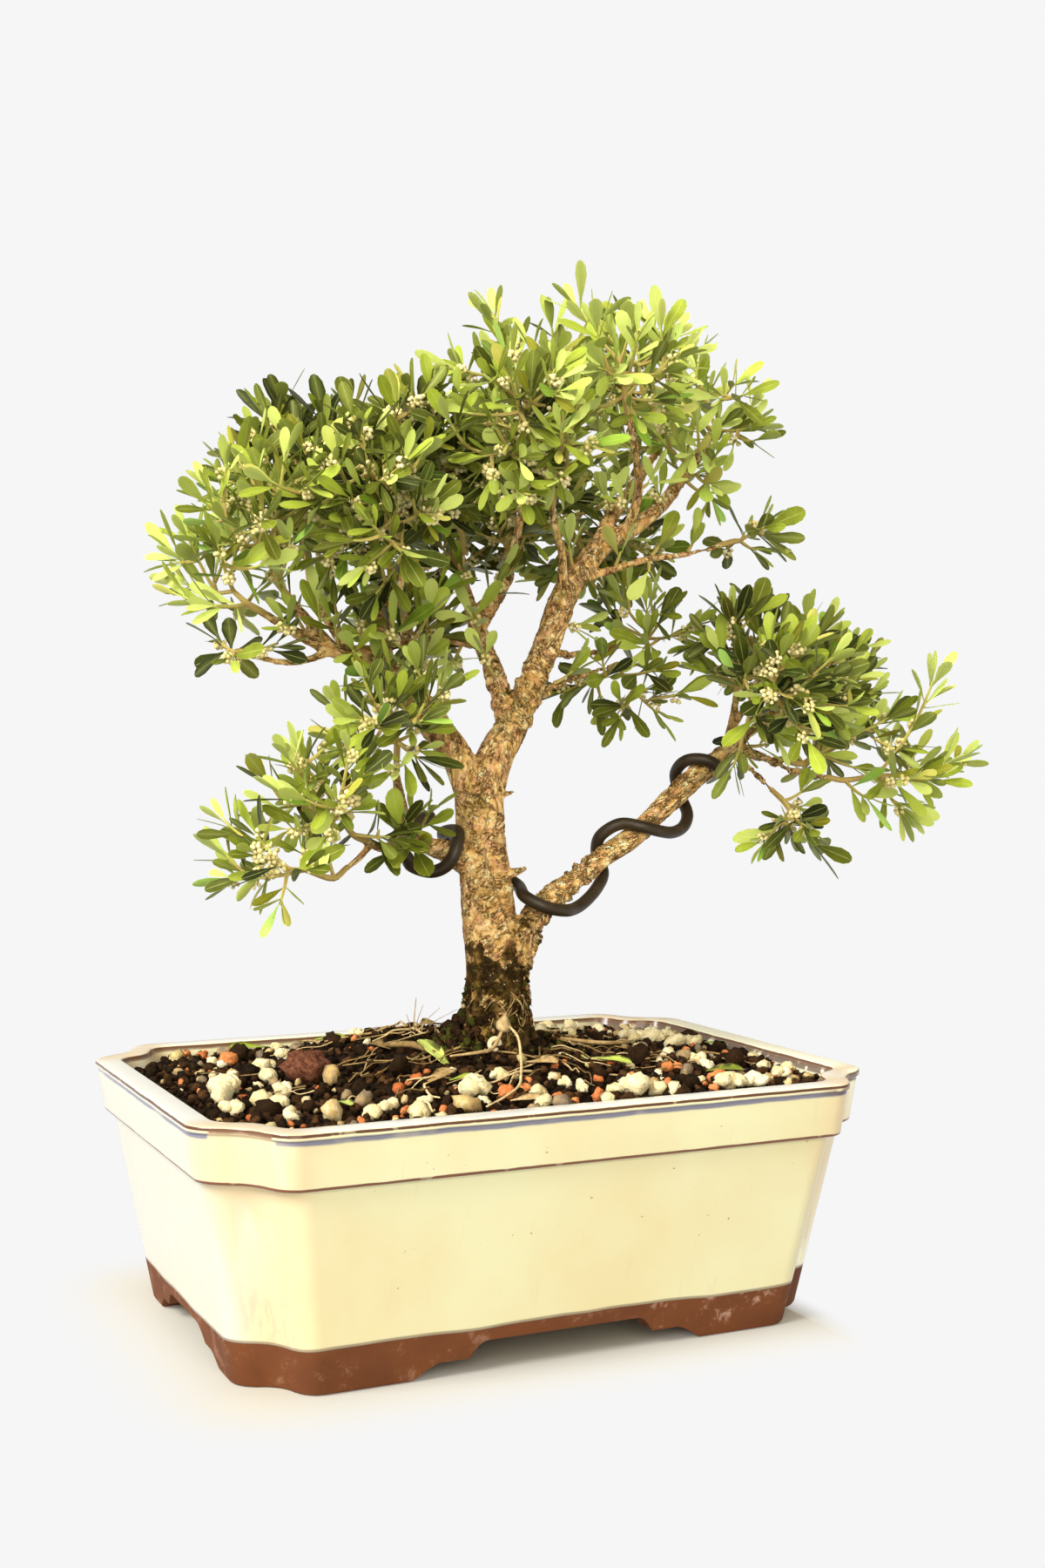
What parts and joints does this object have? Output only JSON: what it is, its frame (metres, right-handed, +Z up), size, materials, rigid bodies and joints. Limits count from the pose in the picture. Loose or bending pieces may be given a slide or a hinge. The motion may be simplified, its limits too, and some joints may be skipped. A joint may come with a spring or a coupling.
{
  "type": "boxwood bonsai",
  "caption": "Boxwood bonsai with a forked, leaning crown of small spoon-shaped leaves and a low wired branch, growing in a rectangular glazed pot with corner feet.",
  "frame": {"origin": "middle of the overall outline seen from above, on the plane that the pot's feet stand on; the pot's own centre is 40.5 mm to the -X side and 10.2 mm to the -Y side of it", "axes": "+Z up; +X along the pot's long side, towards the low wired branch; -Y out of the pot's long front face"},
  "size_m": [0.3085, 0.1939, 0.3523],
  "materials": {
    "pot_glaze": "glossy cream glaze over red-brown clay, the feet bare",
    "soil_mix": "loose dark granules with pale pumice and orange lava",
    "mesh_plastic": "matt",
    "clip_wire": "dull",
    "bark": "corky and fissured, dark and mossy at the foot",
    "wire_dark": "dark brown anodised, satin",
    "leaf": "leathery leaf with a soft gloss"
  },
  "bodies": {
    "root": {"pot": "pot_glaze", "soil": "soil_mix", "drain_mesh_left": "mesh_plastic", "drain_mesh_right": "mesh_plastic", "drain_clip_left": "clip_wire", "drain_clip_right": "clip_wire", "trunk_and_branches": "bark", "training_wire": "wire_dark", "spray_left_tip": "leaf", "spray_left_fork": "leaf", "spray_left_mid": "leaf", "spray_left_up": "leaf", "spray_left_back": "leaf", "spray_left_low": "leaf", "spray_mid_left": "leaf", "spray_mid_right": "leaf", "spray_mid_thin": "leaf", "spray_mid_back": "leaf", "spray_right_front": "leaf", "spray_right_high": "leaf", "spray_right_out": "leaf", "spray_right_twig": "leaf", "spray_right_low": "leaf", "spray_right_side": "leaf", "spray_right_back": "leaf", "spray_top_left": "leaf", "spray_top_right": "leaf", "spray_low_up": "leaf", "spray_low_mid": "leaf", "spray_low_out": "leaf", "spray_pad_up": "leaf", "spray_pad_front": "leaf", "spray_pad_out": "leaf", "spray_pad_tip": "leaf", "spray_pad_in": "leaf", "spray_pad_low": "leaf"}
  },
  "joints": []
}
